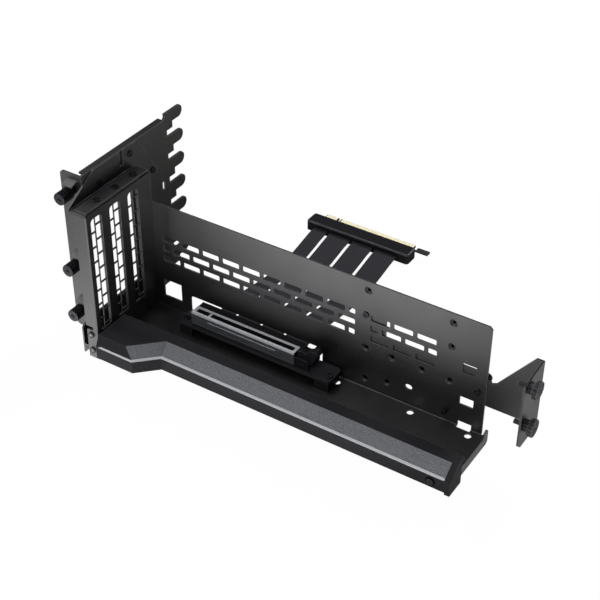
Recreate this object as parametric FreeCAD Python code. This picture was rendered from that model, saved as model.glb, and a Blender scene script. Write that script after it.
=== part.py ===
import FreeCAD, Part
import math
import os

V = FreeCAD.Vector
os.makedirs("parts", exist_ok=True)

# All sizes are in millimetres. X runs along the bracket from the rear panel, Y from its front to its
# back, Z up. The origin is on the rear panel's outer face, in the plane of the wall's front face and
# at the height of the tray's top.

# Sheets and clearances
wall_t = 1.2            # wall and tray, one bent sheet
panel_t = 1.5           # rear panel
frame_t = 1.2           # slot frame
brace_t = 1.5           # side brace
stand_drop = 8.0        # from the tray's top down to the feet
turn_gap = 0.05         # radial running clearance of a screw or pin that turns
face_gap = 0.1          # axial clearance under a knob
fit_gap = 0.3           # clearance beside a piece that lies in a recess

# Expansion slots
slot_pitch = 20.32      # slot spacing of expansion cards
slot_count = 3          # slots in the slot frame
first_slot_y = -61.4    # middle of the foremost slot
slot_open_w = 11.6      # width of an opening in the frame's face
slot_open_top = 112.5
slot_sill = 17.0        # sill of the openings, level with the front trim's top
slot_open_r = 3.0       # rounding of an opening's upper corners

# Slot frame, the box that the covers hang in
frame_face_x = 18.0     # front surface of its face
frame_front_y = -72.0   # outer surface of its front side
shelf_z = 117.6         # top of its shelf
frame_fold_r = 1.0
side_x = 7.5            # free edge of the front side
side_wide_x = 2.7       # the same beside the shelf
side_wide_z = 104.0
foot_slit_z = 17.5      # slit above the foot of the front side
foot_slit_h = 3.0
foot_slit_end_x = 14.0
foot_screw_x = 11.8
foot_screw_z = (-1.1, 13.0)
foot_side_x = 8.0       # free edge of the front side below the slit
foot_shank_l = 3.0
face_shank_l = 1.2      # the face screws end level with the face's inner side
seam_gap = 0.15         # clearance beside a sheet that passes another
upstand_top_z = 136.0
upstand_rise_y = -42.2  # where the slanted front edge reaches the top
upstand_notch_y = -14.0
upstand_notch_w = 3.0
upstand_notch_d = 12.0
upstand_flat_end_y = 7.2
upstand_tip_y = 27.8
upstand_tip_z = 100.6
upstand_low_z = 98.0
upstand_screws = ((-37.9, 122.8), (-2.5, 129.2), (21.7, 103.1))

# Slot covers and the plate that clamps them
cover_t = 0.8
cover_w = 18.0
cover_tongue_w = 10.2
cover_shoulder_z = 12.0
cover_low_z = 1.0
cover_tab_x = 5.5       # free edge of the tab on the shelf
cover_slot_h = 11.1
cover_slot_pitch = 12.35
cover_slot_rows = 8
cover_slot_top = 111.7
cover_slot_left = 5.2   # width of the slots in the left row
cover_slot_right = 5.2
cover_web = 0.8         # web between the two rows
cover_shift = 7.1       # how far the right row hangs lower
cover_slot_low = 14.2
clamp_t = 1.0
clamp_x = 7.0
clamp_end_y = 1.0       # free strip beside the clamp plate at each end
cover_screw_x = 12.2
cover_screw_shift = 8.7 # the screw holds a tab at an open notch in its edge
cover_shank_l = 5.0

# Rear panel
panel_front_y = -54.5
panel_back_y = 41.4
panel_top_z = 136.0
window_y = (-52.0, -1.5)
window_top_z = 112.0
top_lip = 4.0           # depth of the lip folded out at the top
top_lip_y = (-50.3, 39.5)
ear_depth = 17.7        # ear that carries the thumb screws
ear_low_z = 0.6
ear_high_z = 135.5
ear_r = 3.0
joggle = 4.0            # outward step of the finger strip
finger_count = 7
finger_top_z = 137.2
finger_h = 9.9
finger_tip_y = 67.0
finger_round = 4.5
finger_shoulder_y = 54.8
finger_shoulder_h = 5.3
finger_root_y = 47.8
finger_gap_h = 5.1
finger_top_y = 39.5
peep_y = (34.0, 37.0)
peep_z = (78.0, 85.0)

# Thumb screws of the ear
ear_screw_x = -7.0
ear_screw_z = (122.4, 61.4, 20.8)
thumb_shank_r = 1.75
thumb_shank_l = 8.0
ear_knob_r = 4.8
ear_knob_l = 11.0
ear_collar_r = 3.4
ear_collar_l = 4.0
knurl_teeth = 16
knurl_depth = 0.35
recess_l = 4.6
recess_w = 1.0
recess_d = 1.2
hood_w = 9.0
hood_t = 1.2
hood_d = 6.5
hood_fall = 2.2
hood_above = 5.4

# Wall and tray
wall_end_x = 294.9
wall_h = 92.3
wall_corner_r = 2.0
fold_r = 0.8            # inner radius of the fold at the wall's foot
tray_end_x = 298.5
tray_front_y = -59.5
tray_left_y = -70.5
left_flange_l = 18.5    # flange of the tray that stands along the rear panel
left_flange_z = 16.8
flange_front_y = -45.7
flange_back_y = 3.0
flange_bump_y = -4.0
flange_bump_z = 5.0
tray_holes_x = (183.0, 242.7, 287.7)
tray_hole_y = -6.4
tray_hole_r = 2.5

# Vents in the wall: three rows of brick shaped slots, clipped to two fields
vent_l = 15.0
vent_h = 5.0
vent_corner = 0.7       # slanted corners of the vents
vent_pitch = 17.9
vent_first_x = 25.9
vent_row_tops = (65.1, 56.3, 47.5)
vent_fields = ((25.9, 192.2), (204.6, 256.5))
vent_least = 4.0        # a shorter remainder is left out

# Other holes of the wall
square_hole = (24.5, 40.7, 9.7, 25.0)
cable_hole = (49.3, 166.3, 1.5, 19.0)
cable_hole_r = 3.0
hook_hole_x = (276.3, 286.7)
hook_hole_z = ((47.0, 55.0), (19.0, 27.3))
low_hole_z = 4.0
low_hole_reach = 2.3    # reach of the lowest hole into the tray
dimple_r = 3.0
dimple_hole_r = 1.9
nut_r = 2.8
nut_l = 4.0
nut_bore = 3.0          # depth of the blind bore, measured from the wall's back
dimples = ((202.0, 85.0), (201.5, 35.6), (201.6, 7.8), (219.3, 12.0), (222.5, 35.5), (245.8, 35.5),
           (267.2, 35.5), (267.0, 84.6), (267.0, 64.6))
oval_hole = (237.0, 15.7, 2.2, 5.6)
wall_screw_at = (200.8, 64.0)
brace_screw_at = (289.2, 35.5)
stud_at = (266.4, 8.3)
stud_r = 1.9
stud_l = 3.0

# Front trim, a moulding open below
trim_left_x = 19.5
trim_end_x = 303.0
trim_wall = 2.2
trim_top_z = 17.0
trim_bevel_z = 8.7      # height at which the bevel would meet the front
chamfer_low_z = 7.9     # chamfer between the bevel and the front
chamfer_high_z = 9.5
trim_low_z = -2.0
trim_end_low_z = -3.7
trim_lip_y = -43.0
trim_back_y = -46.0
trim_lip_z = 14.4
trim_top_y = -52.0      # upper edge of the bevel along the main run
trim_front_y = -62.0
trim_left_top_y = -73.0
trim_left_front_y = -77.0
jog_low_x = 52.3        # foot of the mitred corner
jog_low_end_x = 67.5
jog_bevel_w = 8.6       # width of the diagonal bevel seen from above
inlay_t = 0.4
inlay_end = 4.5         # border left at the right end
inlay_edge = 0.2        # border kept beside the chamfer
trim_boss_x = (80.0, 175.0, 270.0)
trim_boss_y = -53.0
trim_boss_r = 3.2
trim_rib_t = 1.6
trim_shank_l = 8.0      # screws that hold the trim from below
trim_ribs_x = (100.0, 130.0, 155.0, 200.0, 225.0, 250.0)
trim_screw_x = 288.5
trim_screw_z = 3.1
trim_screw_r = 2.4

# Screws with a flat round head
screw_head_r = 2.6
screw_head_h = 1.0
screw_shank_r = 1.4
screw_shank_l = 4.0
screw_play = 0.1
screw_cross_l = 3.0
screw_cross_w = 0.7
screw_cross_d = 0.5
head_sides = 12         # small heads and holes are drawn with flat sides
shank_sides = 8
dimple_sides = 12

# Riser board on its two blocks
board_x = (52.0, 184.5)
board_y = (-20.7, -2.0)
board_top_z = 9.5
board_t = 1.6
board_r = 4.0
block_l = 11.0
block_inset = 1.2
block_y = (-20.2, -4.0)
board_screw_inset = 3.6
board_screw_y = -14.0

# Card socket
socket_x0 = 64.3
socket_l = 89.7
socket_mid_y = -14.65
socket_w = 7.7
socket_top_z = 21.6
socket_cavity_w = 4.4
socket_wall_end = 2.4
socket_floor_z = 12.0
key_x = 78.3
key_w = 1.7
shield_t = 0.4
shield_low_z = 11.2
shield_rim = 2.0
contact_pitch = 5.0
contact_w = 0.8
contact_t = 0.5
contact_h = 5.5

# Latch at the socket's end
latch_cheek_l = 11.5
latch_cheek_t = 1.3
latch_cheek_top = 18.5
latch_pin_r = 1.0
latch_pivot_out = 6.5   # pin of the latch, beyond the socket's end
latch_pivot_z = 15.0
latch_play = 0.25
latch_hub_r = 4.2

# Flat cable of four bands and the plug on its far end
relief_x = (61.5, 154.5)
relief_y = (-9.9, -1.0)
relief_h = 9.2
relief_step_x = 165.0   # end of the lower step behind the latch
relief_step_h = 6.6
relief_r = 2.0
band_t = 0.8
band_w = (13.1, 19.5, 18.6, 19.6)
band_start_x = (74.7, 90.0, 111.7, 132.5)
band_end_x = (60.1, 75.9, 98.2, 119.6)
band_route = ((relief_y[1], 14.3), (3.5, 14.3), (10.0, 14.2), (22.0, 13.4), (36.0, 10.6), (52.0, 6.0), (70.0, 0.6),
              (88.0, -4.2), (104.0, -6.8), (120.0, -7.3), (136.0, -6.2), (149.0, -4.2), (157.5, -3.6))
plug_x = (52.1, 149.2)
plug_y = (157.5, 171.5)
plug_low_z = -8.0
plug_top_z = 1.0
plug_r = 2.5
plug_edge = 0.8
edge_x0 = 61.4
edge_l = 85.2
edge_y = 176.8
edge_t = 1.6
edge_mid_z = -1.5
edge_key_at = 11.65
edge_key_w = 1.9
edge_root_y = 162.0
hook_tip_x = 160.5
hook_y = (169.8, 174.6)
hook_slit_w = 3.0
hook_slit_y = 171.1     # bottom of the slit between the card's edge and its hook
pad_l = 3.6
pad_w = 1.7
pad_pitch = 2.6
pad_t = 0.1

# Side brace behind the wall's right end
brace_low_z = 25.0
brace_left_x = 195.5
brace_left_top_z = 69.0
brace_left_end_x = 216.2
brace_strip_z = 50.0
brace_tab_x = (275.0, 291.0)
brace_tab_z = 52.0
brace_nut_gap = 0.6     # clearance between the brace's holes and the pressed nuts
brace_neck_x = (297.5, 301.0)
brace_neck_z = 45.4
brace_rise = (326.5, 79.8)
brace_end_x = 332.0
brace_front_y = -26.0
brace_front_top_z = 77.5
brace_front_cut = (-22.3, 27.5)
brace_flange_low_z = 24.0
brace_bolt_at = (293.2, 47.3)
brace_bolt_r = 3.5
brace_bolt_h = 2.0
brace_screw_y = -18.2
brace_screw_z = (72.4, 40.6)
brace_knob_r = 6.4
brace_knob_l = 3.6
brace_hub_r = 4.3
brace_hub_l = 3.2
brace_shank_l = 6.5


def box(x0, x1, y0, y1, z0, z1):
    return Part.makeBox(x1 - x0, y1 - y0, z1 - z0, V(x0, y0, z0))


def prism(points, direction):
    """A solid from a closed outline of 3D points, pushed along a direction."""
    wire = Part.makePolygon([V(*p) for p in points] + [V(*points[0])])
    return Part.Face(wire).extrude(V(*direction))


def plate_x(points, x0, x1):
    return prism([(x0, y, z) for y, z in points], (x1 - x0, 0, 0))


def plate_y(points, y0, y1):
    return prism([(x, y0, z) for x, z in points], (0, y1 - y0, 0))


def plate_z(points, z0, z1):
    return prism([(x, y, z0) for x, y in points], (0, 0, z1 - z0))


def rod(axis, centre, start, end, radius):
    """A cylinder along X, Y or Z; centre holds the two other coordinates in order."""
    a, b = centre
    low = min(start, end)
    length = abs(end - start)
    if axis == "X":
        return Part.makeCylinder(radius, length, V(low, a, b), V(1, 0, 0))
    if axis == "Y":
        return Part.makeCylinder(radius, length, V(a, low, b), V(0, 1, 0))
    return Part.makeCylinder(radius, length, V(a, b, low), V(0, 0, 1))


def ring(axis, centre, radius, sides, at):
    """Corner points of a regular outline around an axis, at one place along it."""
    a, b = centre
    points = []
    for i in range(sides):
        angle = 2 * math.pi * (i + 0.5) / sides
        u = a + radius * math.cos(angle)
        v = b + radius * math.sin(angle)
        points.append({"X": (at, u, v), "Y": (u, at, v), "Z": (u, v, at)}[axis])
    return points


def sided_rod(axis, centre, start, end, radius, sides):
    """A rod with flat sides whose corners lie on the radius."""
    low = min(start, end)
    length = abs(end - start)
    push = {"X": (length, 0, 0), "Y": (0, length, 0), "Z": (0, 0, length)}[axis]
    return prism(ring(axis, centre, radius, sides, low), push)


def sided_cone(axis, centre, start, end, start_r, end_r, sides):
    wires = []
    for at, radius in ((start, start_r), (end, end_r)):
        points = [V(*p) for p in ring(axis, centre, radius, sides, at)]
        wires.append(Part.makePolygon(points + [points[0]]))
    return Part.makeLoft(wires, True, True)


def fuse(shapes):
    result = shapes[0]
    if len(shapes) > 1:
        result = shapes[0].fuse(shapes[1:])
    return result.removeSplitter()


def drill(body, tools):
    return body.cut(tools) if tools else body


def rounded(shape, radius, test):
    """Rounds the edges whose middle passes the test."""
    chosen = []
    for edge in shape.Edges:
        middle = edge.valueAt((edge.FirstParameter + edge.LastParameter) / 2)
        if test(edge, middle):
            chosen.append(edge)
    return shape.makeFillet(radius, chosen)


def runs_along(edge, axis):
    if len(edge.Vertexes) < 2:
        return False
    span = edge.Vertexes[1].Point - edge.Vertexes[0].Point
    return abs(abs(getattr(span, axis)) - edge.Length) < 1e-6 and edge.Length > 1e-6


def round_box(x0, x1, y0, y1, z0, z1, axis, radius):
    body = box(x0, x1, y0, y1, z0, z1)
    return rounded(body, radius, lambda edge, middle: runs_along(edge, axis))


def cross(axis, centre, face, inward, length, width, depth):
    """A cross recess cut into a head's face; inward is +1 or -1 along the axis."""
    a, b = centre
    low = min(face, face + inward * depth)
    high = max(face, face + inward * depth)
    half = length / 2
    slim = width / 2
    if axis == "X":
        first = box(low, high, a - half, a + half, b - slim, b + slim)
        second = box(low, high, a - slim, a + slim, b - half, b + half)
    elif axis == "Y":
        first = box(a - half, a + half, low, high, b - slim, b + slim)
        second = box(a - slim, a + slim, low, high, b - half, b + half)
    else:
        first = box(a - half, a + half, b - slim, b + slim, low, high)
        second = box(a - slim, a + slim, b - half, b + half, low, high)
    return first.fuse(second)


def knurled(axis, centre, start, end, radius):
    """A gripped head: an outline of shallow teeth pushed along its axis."""
    a, b = centre
    outline = []
    for i in range(2 * knurl_teeth):
        r = radius if i % 2 == 0 else radius - knurl_depth
        angle = math.pi * i / knurl_teeth
        outline.append((a + r * math.cos(angle), b + r * math.sin(angle)))
    if axis == "X":
        return plate_x(outline, start, end)
    return plate_y(outline, start, end)


def screw(axis, centre, seat, outward, shank=screw_shank_l, head_r=screw_head_r, marked=True):
    """A flat-headed screw: the head stands outward from its seat, the shank goes the other way."""
    head = sided_rod(axis, centre, seat, seat + outward * screw_head_h, head_r, head_sides)
    top = seat + outward * screw_head_h
    if marked:
        head = head.cut(cross(axis, centre, top, -outward, screw_cross_l, screw_cross_w, screw_cross_d))
    pin = sided_rod(axis, centre, seat - outward * shank, seat, screw_shank_r, shank_sides)
    return head.fuse(pin)


def hole(axis, centre, start, end, radius=None):
    if radius is None:
        return sided_rod(axis, centre, start, end, screw_shank_r + screw_play, shank_sides)
    return rod(axis, centre, start, end, radius)


def save(name, shape):
    shape.exportStep("parts/" + name + ".step")
    print(name, "solids", len(shape.Solids), "faces", len(shape.Faces), "valid", shape.isValid())


def group(shapes):
    return shapes[0] if len(shapes) == 1 else Part.makeCompound(shapes)


slot_mids = [first_slot_y + slot_pitch * k for k in range(slot_count)]
feet_z = -stand_drop
board_low_z = board_top_z - board_t


# Wall, tray and right flange, one bent sheet
def vent_slots():
    slots = []
    for row, top in enumerate(vent_row_tops):
        shift = vent_pitch / 2 if row % 2 else 0.0
        for low, high in vent_fields:
            x = vent_first_x + shift - vent_pitch
            while x < high:
                start = max(x, low)
                end = min(x + vent_l, high)
                if end - start >= vent_least:
                    c = vent_corner
                    low_z = top - vent_h
                    slots.append(plate_y([(start + c, low_z), (end - c, low_z), (end, low_z + c),
                                          (end, top - c), (end - c, top), (start + c, top),
                                          (start, top - c), (start, low_z + c)], -1, wall_t + 1))
                x += vent_pitch
    return slots


def make_sheet():
    wall = plate_y([(panel_t, -wall_t), (wall_end_x, -wall_t), (wall_end_x, wall_h - wall_corner_r),
                    (wall_end_x - wall_corner_r, wall_h), (panel_t, wall_h)], 0, wall_t)
    diagonal = tray_front_y - tray_left_y
    tray = plate_z([(panel_t, wall_t), (panel_t, tray_left_y), (jog_low_x - trim_wall - 2, tray_left_y),
                    (jog_low_x - trim_wall - 2 + diagonal, tray_front_y), (tray_end_x, tray_front_y),
                    (tray_end_x, 0), (wall_end_x, 0), (wall_end_x, wall_t)], -wall_t, 0)
    flange = plate_x([(flange_front_y, 0), (flange_front_y, feet_z), (flange_back_y - 2, feet_z),
                      (flange_back_y, feet_z + 2), (flange_back_y, flange_bump_z - 2.5),
                      (flange_back_y - 1.2, flange_bump_z - 0.6), (flange_back_y - 3, flange_bump_z),
                      (flange_bump_y + 1, flange_bump_z - 1.6), (flange_bump_y, 0)],
                     tray_end_x - wall_t, tray_end_x)
    left_flange = plate_x([(tray_left_y, feet_z), (tray_left_y, left_flange_z - 3), (tray_left_y + 1, left_flange_z - 1),
                           (tray_left_y + 3, left_flange_z), (tray_left_y + left_flange_l, left_flange_z),
                           (tray_left_y + left_flange_l, feet_z)], panel_t, panel_t + wall_t)
    sheet = fuse([wall, tray, flange, left_flange])
    sheet = rounded(sheet, fold_r, lambda e, m: runs_along(e, "x") and abs(m.y) < 1e-6 and abs(m.z) < 1e-6
                    and e.Length > wall_end_x / 2)
    sheet = rounded(sheet, fold_r + wall_t, lambda e, m: runs_along(e, "x") and abs(m.y - wall_t) < 1e-6
                    and abs(m.z + wall_t) < 1e-6 and e.Length > wall_end_x / 2)
    cuts = vent_slots()
    x0, x1, z0, z1 = square_hole
    cuts.append(box(x0, x1, -1, wall_t + 1, z0, z1))
    x0, x1, z0, z1 = cable_hole
    cuts.append(round_box(x0, x1, -1, wall_t + 1, z0, z1, "y", cable_hole_r))
    for z0, z1 in hook_hole_z:
        cuts.append(box(hook_hole_x[0], hook_hole_x[1], -1, wall_t + 1, z0, z1))
    cuts.append(box(hook_hole_x[0], hook_hole_x[1], -low_hole_reach, wall_t + 1, -wall_t - 1, low_hole_z))
    for x, z in dimples:
        cuts.append(sided_cone("Y", (x, z), 0, wall_t, dimple_r, dimple_hole_r, dimple_sides))
    for x, z in (wall_screw_at, brace_screw_at):
        cuts.append(hole("Y", (x, z), -1, wall_t + 1))
    x, z, r, length = oval_hole
    cuts.append(round_box(x - length / 2, x + length / 2, -1, wall_t + 1, z - r, z + r, "y", r * 0.98))
    cuts.append(hole("Y", stud_at, -1, wall_t + 1))
    for x in tray_holes_x:
        cuts.append(hole("Z", (x, tray_hole_y), -wall_t - 1, 1, tray_hole_r))
    for x in trim_boss_x:
        cuts.append(hole("Z", (x, trim_boss_y), -wall_t - 1, 1))
    for x in board_screws_x:
        cuts.append(hole("Z", (x, board_screw_y), -wall_t - 1, 1))
    notch = screw_shank_r + screw_play
    cuts.append(box(foot_screw_x - notch, foot_screw_x + notch, tray_left_y - 1,
                    frame_front_y + foot_shank_l + seam_gap, -wall_t - 1, 1))
    return drill(sheet, cuts)


board_screws_x = (board_x[0] + board_screw_inset, board_x[1] - board_screw_inset)
save("main_sheet", make_sheet())


def press_nut(x, z):
    body = sided_rod("Y", (x, z), wall_t, wall_t + nut_l, nut_r, shank_sides)
    return body.cut(sided_rod("Y", (x, z), wall_t - 1, wall_t + nut_bore, screw_shank_r, shank_sides))


save("press_nuts", group([press_nut(x, z) for x, z in dimples]))
wall_screw = screw("Y", wall_screw_at, 0, -1, wall_t + brace_t + 1)
brace_wall_screw = screw("Y", brace_screw_at, 0, -1, wall_t + brace_t + 1)
save("wall_screw", wall_screw)
save("brace_wall_screw", brace_wall_screw)
stud = sided_rod("Y", stud_at, -stud_l, 0, stud_r, head_sides)
stud = stud.fuse(sided_rod("Y", stud_at, 0, wall_t, screw_shank_r, shank_sides))
save("wall_stud", stud)


# Slot frame: face, shelf, front side, upstand and foot
def make_slot_frame():
    face_in_x = frame_face_x - frame_t
    back_y = frame_front_y + frame_t
    shelf_low = shelf_z - frame_t
    stand_x = panel_t + frame_t
    face = box(face_in_x, frame_face_x, frame_front_y, 0, 0, shelf_z)
    face = face.fuse(box(face_in_x, frame_face_x, frame_front_y, back_y, feet_z, shelf_z))
    shelf = box(panel_t, frame_face_x, frame_front_y, 0, shelf_low, shelf_z)
    slit_top = foot_slit_z + foot_slit_h
    side = plate_y([(frame_face_x, feet_z), (frame_face_x, shelf_z), (side_wide_x, shelf_z),
                    (side_wide_x, side_wide_z), (side_x, side_wide_z - 5), (side_x, slit_top),
                    (foot_slit_end_x, slit_top), (foot_slit_end_x, foot_slit_z),
                    (foot_side_x + 1, foot_slit_z), (foot_side_x, foot_slit_z - 1), (foot_side_x, feet_z)],
                   frame_front_y, back_y)
    notch_end = upstand_notch_y + upstand_notch_w
    notch_low = upstand_top_z - upstand_notch_d
    stand = plate_x([(frame_front_y, shelf_low), (frame_front_y, shelf_z + 0.5),
                     (upstand_rise_y, upstand_top_z), (upstand_notch_y, upstand_top_z),
                     (upstand_notch_y, notch_low), (notch_end, notch_low), (notch_end, upstand_top_z),
                     (upstand_flat_end_y, upstand_top_z), (upstand_tip_y, upstand_tip_z),
                     (upstand_tip_y - 0.8, upstand_low_z), (0, upstand_low_z), (0, shelf_low)],
                    panel_t, stand_x)
    frame = fuse([face, shelf, side, stand])
    frame = rounded(frame, frame_fold_r, lambda e, m: (
        (runs_along(e, "z") and abs(m.x - frame_face_x) < 1e-6 and abs(m.y - frame_front_y) < 1e-6)
        or (runs_along(e, "x") and abs(m.z - shelf_z) < 1e-6 and abs(m.y - frame_front_y) < 1e-6)
        or (runs_along(e, "y") and abs(m.x - frame_face_x) < 1e-6 and abs(m.z - shelf_z) < 1e-6)))
    fold_room = fold_r + seam_gap
    cuts = [box(0, frame_face_x + 1, -fold_room, 1, -1, fold_room)]
    for mid in slot_mids:
        low_y = mid - slot_open_w / 2
        high_y = mid + slot_open_w / 2
        window = box(face_in_x - 1, frame_face_x + 1, low_y, high_y, slot_sill, slot_open_top)
        window = rounded(window, slot_open_r, lambda e, m: runs_along(e, "x")
                         and abs(m.z - slot_open_top) < 1e-6)
        cuts.append(window)
        half = cover_w / 2 + 0.2
        cuts.append(box(face_in_x - cover_t - 0.2, face_in_x, mid - half, mid + half, shelf_low - 1,
                        shelf_z + 1))
        cuts.append(hole("Z", (cover_screw_x, mid + cover_screw_shift), shelf_low - 1, shelf_z + 1))
    for y, z in upstand_screws:
        cuts.append(hole("X", (y, z), 0, stand_x + 1))
    for z in foot_screw_z:
        cuts.append(hole("Y", (foot_screw_x, z), frame_front_y - 1, back_y + 1))
    for y, z in face_screws:
        cuts.append(hole("X", (y, z), face_in_x - 1, frame_face_x + 1))
    return drill(frame, cuts)


face_screws = ((-15.0, 11.9), (-13.5, 5.0))
save("slot_frame", make_slot_frame())


# Slot covers: a blade with two staggered rows of slots, a tongue, and a tab on the shelf
def make_cover(mid):
    blade_front = frame_face_x - frame_t
    blade_back = blade_front - cover_t
    half = cover_w / 2
    tongue = cover_tongue_w / 2
    tab_top = shelf_z + cover_t
    blade = plate_x([(mid - half, tab_top), (mid - half, cover_shoulder_z),
                     (mid - tongue, cover_shoulder_z - 3), (mid - tongue, cover_low_z),
                     (mid + tongue, cover_low_z), (mid + tongue, cover_shoulder_z - 3),
                     (mid + half, cover_shoulder_z), (mid + half, tab_top)], blade_back, blade_front)
    tab = box(cover_tab_x, blade_front, mid - half, mid + half, shelf_z, tab_top)
    cover = fuse([blade, tab])
    left = mid - cover_slot_left - cover_web / 2
    right = mid + cover_web / 2
    cuts = []
    for row in range(cover_slot_rows):
        top = cover_slot_top - cover_slot_pitch * row
        cuts.append(box(blade_back - 1, blade_front + 1, left, left + cover_slot_left,
                        max(top - cover_slot_h, cover_slot_low), top))
        top -= cover_shift
        low = max(top - cover_slot_h, cover_slot_low)
        if top - low > 1:
            cuts.append(box(blade_back - 1, blade_front + 1, right, right + cover_slot_right, low, top))
    short_low = cover_slot_top - cover_shift + cover_slot_pitch - cover_slot_h
    cuts.append(box(blade_back - 1, blade_front + 1, right, right + cover_slot_right, short_low,
                    cover_slot_top))
    cuts.append(hole("Z", (cover_screw_x, mid + cover_screw_shift), shelf_z - 1, tab_top + 1))
    return drill(cover, cuts)


for number, mid in enumerate(slot_mids):
    save("slot_cover_" + str(number + 1), make_cover(mid))

clamp_low_z = shelf_z + cover_t
clamp_top_z = clamp_low_z + clamp_t
clamp = box(clamp_x, frame_face_x - frame_fold_r, frame_front_y + clamp_end_y + frame_fold_r, -clamp_end_y,
            clamp_low_z, clamp_top_z)
cover_screw_places = [(cover_screw_x, mid + cover_screw_shift) for mid in slot_mids]
clamp = drill(clamp, [hole("Z", at, clamp_low_z - 1, clamp_top_z + 1) for at in cover_screw_places])
save("cover_clamp", clamp)
save("cover_screws", group([screw("Z", at, clamp_top_z, 1, cover_shank_l) for at in cover_screw_places]))
upstand_face_x = panel_t + frame_t
save("upstand_screws", group([screw("X", at, upstand_face_x, 1, upstand_face_x - 0.2)
                              for at in upstand_screws]))
save("foot_screws", group([screw("Y", (foot_screw_x, z), frame_front_y, -1, foot_shank_l)
                           for z in foot_screw_z]))
save("face_screws", group([screw("X", at, frame_face_x, 1, face_shank_l, 1.6, False) for at in face_screws]))


# Rear panel: window, outward ear and lip, and the joggled strip of fingers
def finger_outline(top):
    low = top - finger_h
    tip = finger_tip_y
    back = tip - finger_round
    a = Part.LineSegment(V(0, panel_back_y, low), V(0, panel_back_y, top)).toShape()
    b = Part.LineSegment(V(0, panel_back_y, top), V(0, back, top)).toShape()
    c = Part.Arc(V(0, back, top), V(0, tip, (top + low) / 2), V(0, back, low)).toShape()
    d = Part.LineSegment(V(0, back, low), V(0, panel_back_y, low)).toShape()
    return Part.Face(Part.Wire([a, b, c, d]))


def make_rear_panel():
    sheet = box(0, panel_t, panel_front_y, panel_back_y, feet_z, panel_top_z)
    lip = box(-top_lip, panel_t, top_lip_y[0], top_lip_y[1], panel_top_z - panel_t, panel_top_z)
    ear = box(-ear_depth, panel_t, panel_front_y, panel_front_y + panel_t, ear_low_z, ear_high_z)
    ear = rounded(ear, ear_r, lambda e, m: runs_along(e, "y") and abs(m.x + ear_depth) < 1e-6)
    out = joggle
    step = plate_z([(0, panel_back_y), (panel_t, panel_back_y), (panel_t - out, panel_back_y + out),
                    (panel_t - out, finger_tip_y + 1), (-out, finger_tip_y + 1), (-out, panel_back_y + out)],
                   feet_z, finger_top_z)
    keep = [box(-out - 1, panel_t + 1, finger_top_y, finger_root_y, feet_z, finger_top_z)]
    for k in range(finger_count):
        top = finger_top_z - slot_pitch * k
        keep.append(finger_outline(top).extrude(V(out + panel_t + 2, 0, 0)).translated(V(-out - 1, 0, 0)))
        low = top - finger_h
        keep.append(box(-out - 1, panel_t + 1, panel_back_y, finger_shoulder_y, low - finger_shoulder_h, low))
    strip = step.common(keep[0].fuse(keep[1:]))
    rise = box(0, panel_t, finger_top_y, panel_back_y, panel_top_z, finger_top_z)
    panel = fuse([sheet, lip, ear, strip, rise])
    hoods = []
    for z in ear_screw_z:
        low = z + hood_above
        tip = panel_front_y - hood_d
        hoods.append(plate_x([(panel_front_y, low + hood_fall), (tip, low), (tip, low + hood_t),
                              (panel_front_y, low + hood_fall + hood_t)],
                             ear_screw_x - hood_w / 2, ear_screw_x + hood_w / 2))
    panel = fuse([panel] + hoods)
    cuts = [box(-1, panel_t + 1, window_y[0], window_y[1], slot_sill, window_top_z),
            box(-1, panel_t + 1, peep_y[0], peep_y[1], peep_z[0], peep_z[1])]
    for z in ear_screw_z:
        cuts.append(hole("Y", (ear_screw_x, z), panel_front_y - 1, panel_front_y + panel_t + 1,
                         thumb_shank_r + turn_gap))
    for y, z in upstand_screws:
        cuts.append(hole("X", (y, z), -1, panel_t + 1))
    return drill(panel, cuts)


save("rear_panel", make_rear_panel())


def make_ear_thumb(z):
    at = (ear_screw_x, z)
    seat = panel_front_y - face_gap
    collar_end = seat - ear_collar_l
    knob_end = collar_end - ear_knob_l
    collar = sided_rod("Y", at, collar_end, seat, ear_collar_r, head_sides)
    knob = knurled("Y", at, knob_end, collar_end, ear_knob_r)
    shank = rod("Y", at, seat, seat + panel_t + thumb_shank_l, thumb_shank_r)
    mark = cross("Y", at, knob_end, 1, recess_l, recess_w, recess_d)
    return fuse([knob, collar, shank]).cut(mark)


for name, z in zip(("upper", "middle", "lower"), ear_screw_z):
    save("thumb_screw_" + name, make_ear_thumb(z))


# Front trim: a left block and a long bar that meet at a mitred inner corner
jog_dx = jog_low_end_x - jog_low_x
jog_dy = trim_front_y - trim_left_front_y
jog_len = math.hypot(jog_dx, jog_dy)
jog_out = (jog_dy / jog_len, -jog_dx / jog_len)


def bevel_cutter(point, outward, width, drop, inset):
    """Everything outside a slanted plane; the plane starts at the top edge and falls outward."""
    rise = trim_top_z - drop
    length = math.hypot(width, rise)
    normal = V(outward[0] * rise / length, outward[1] * rise / length, width / length)
    base = V(point[0], point[1], drop) - normal * inset
    size = 700
    block = Part.makeBox(size, size, size, V(-size / 2, -size / 2, 0))
    block.Placement = FreeCAD.Placement(base, FreeCAD.Rotation(V(0, 0, 1), normal))
    return block


def chamfer_cutter(point, outward, width):
    """Everything outside the chamfer, for a bevel of the given width."""
    run = width * (chamfer_high_z - trim_bevel_z) / (trim_top_z - trim_bevel_z)
    slant = run * (trim_top_z - chamfer_low_z) / (chamfer_high_z - chamfer_low_z)
    return bevel_cutter(point, outward, slant, chamfer_low_z, 0)


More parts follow.
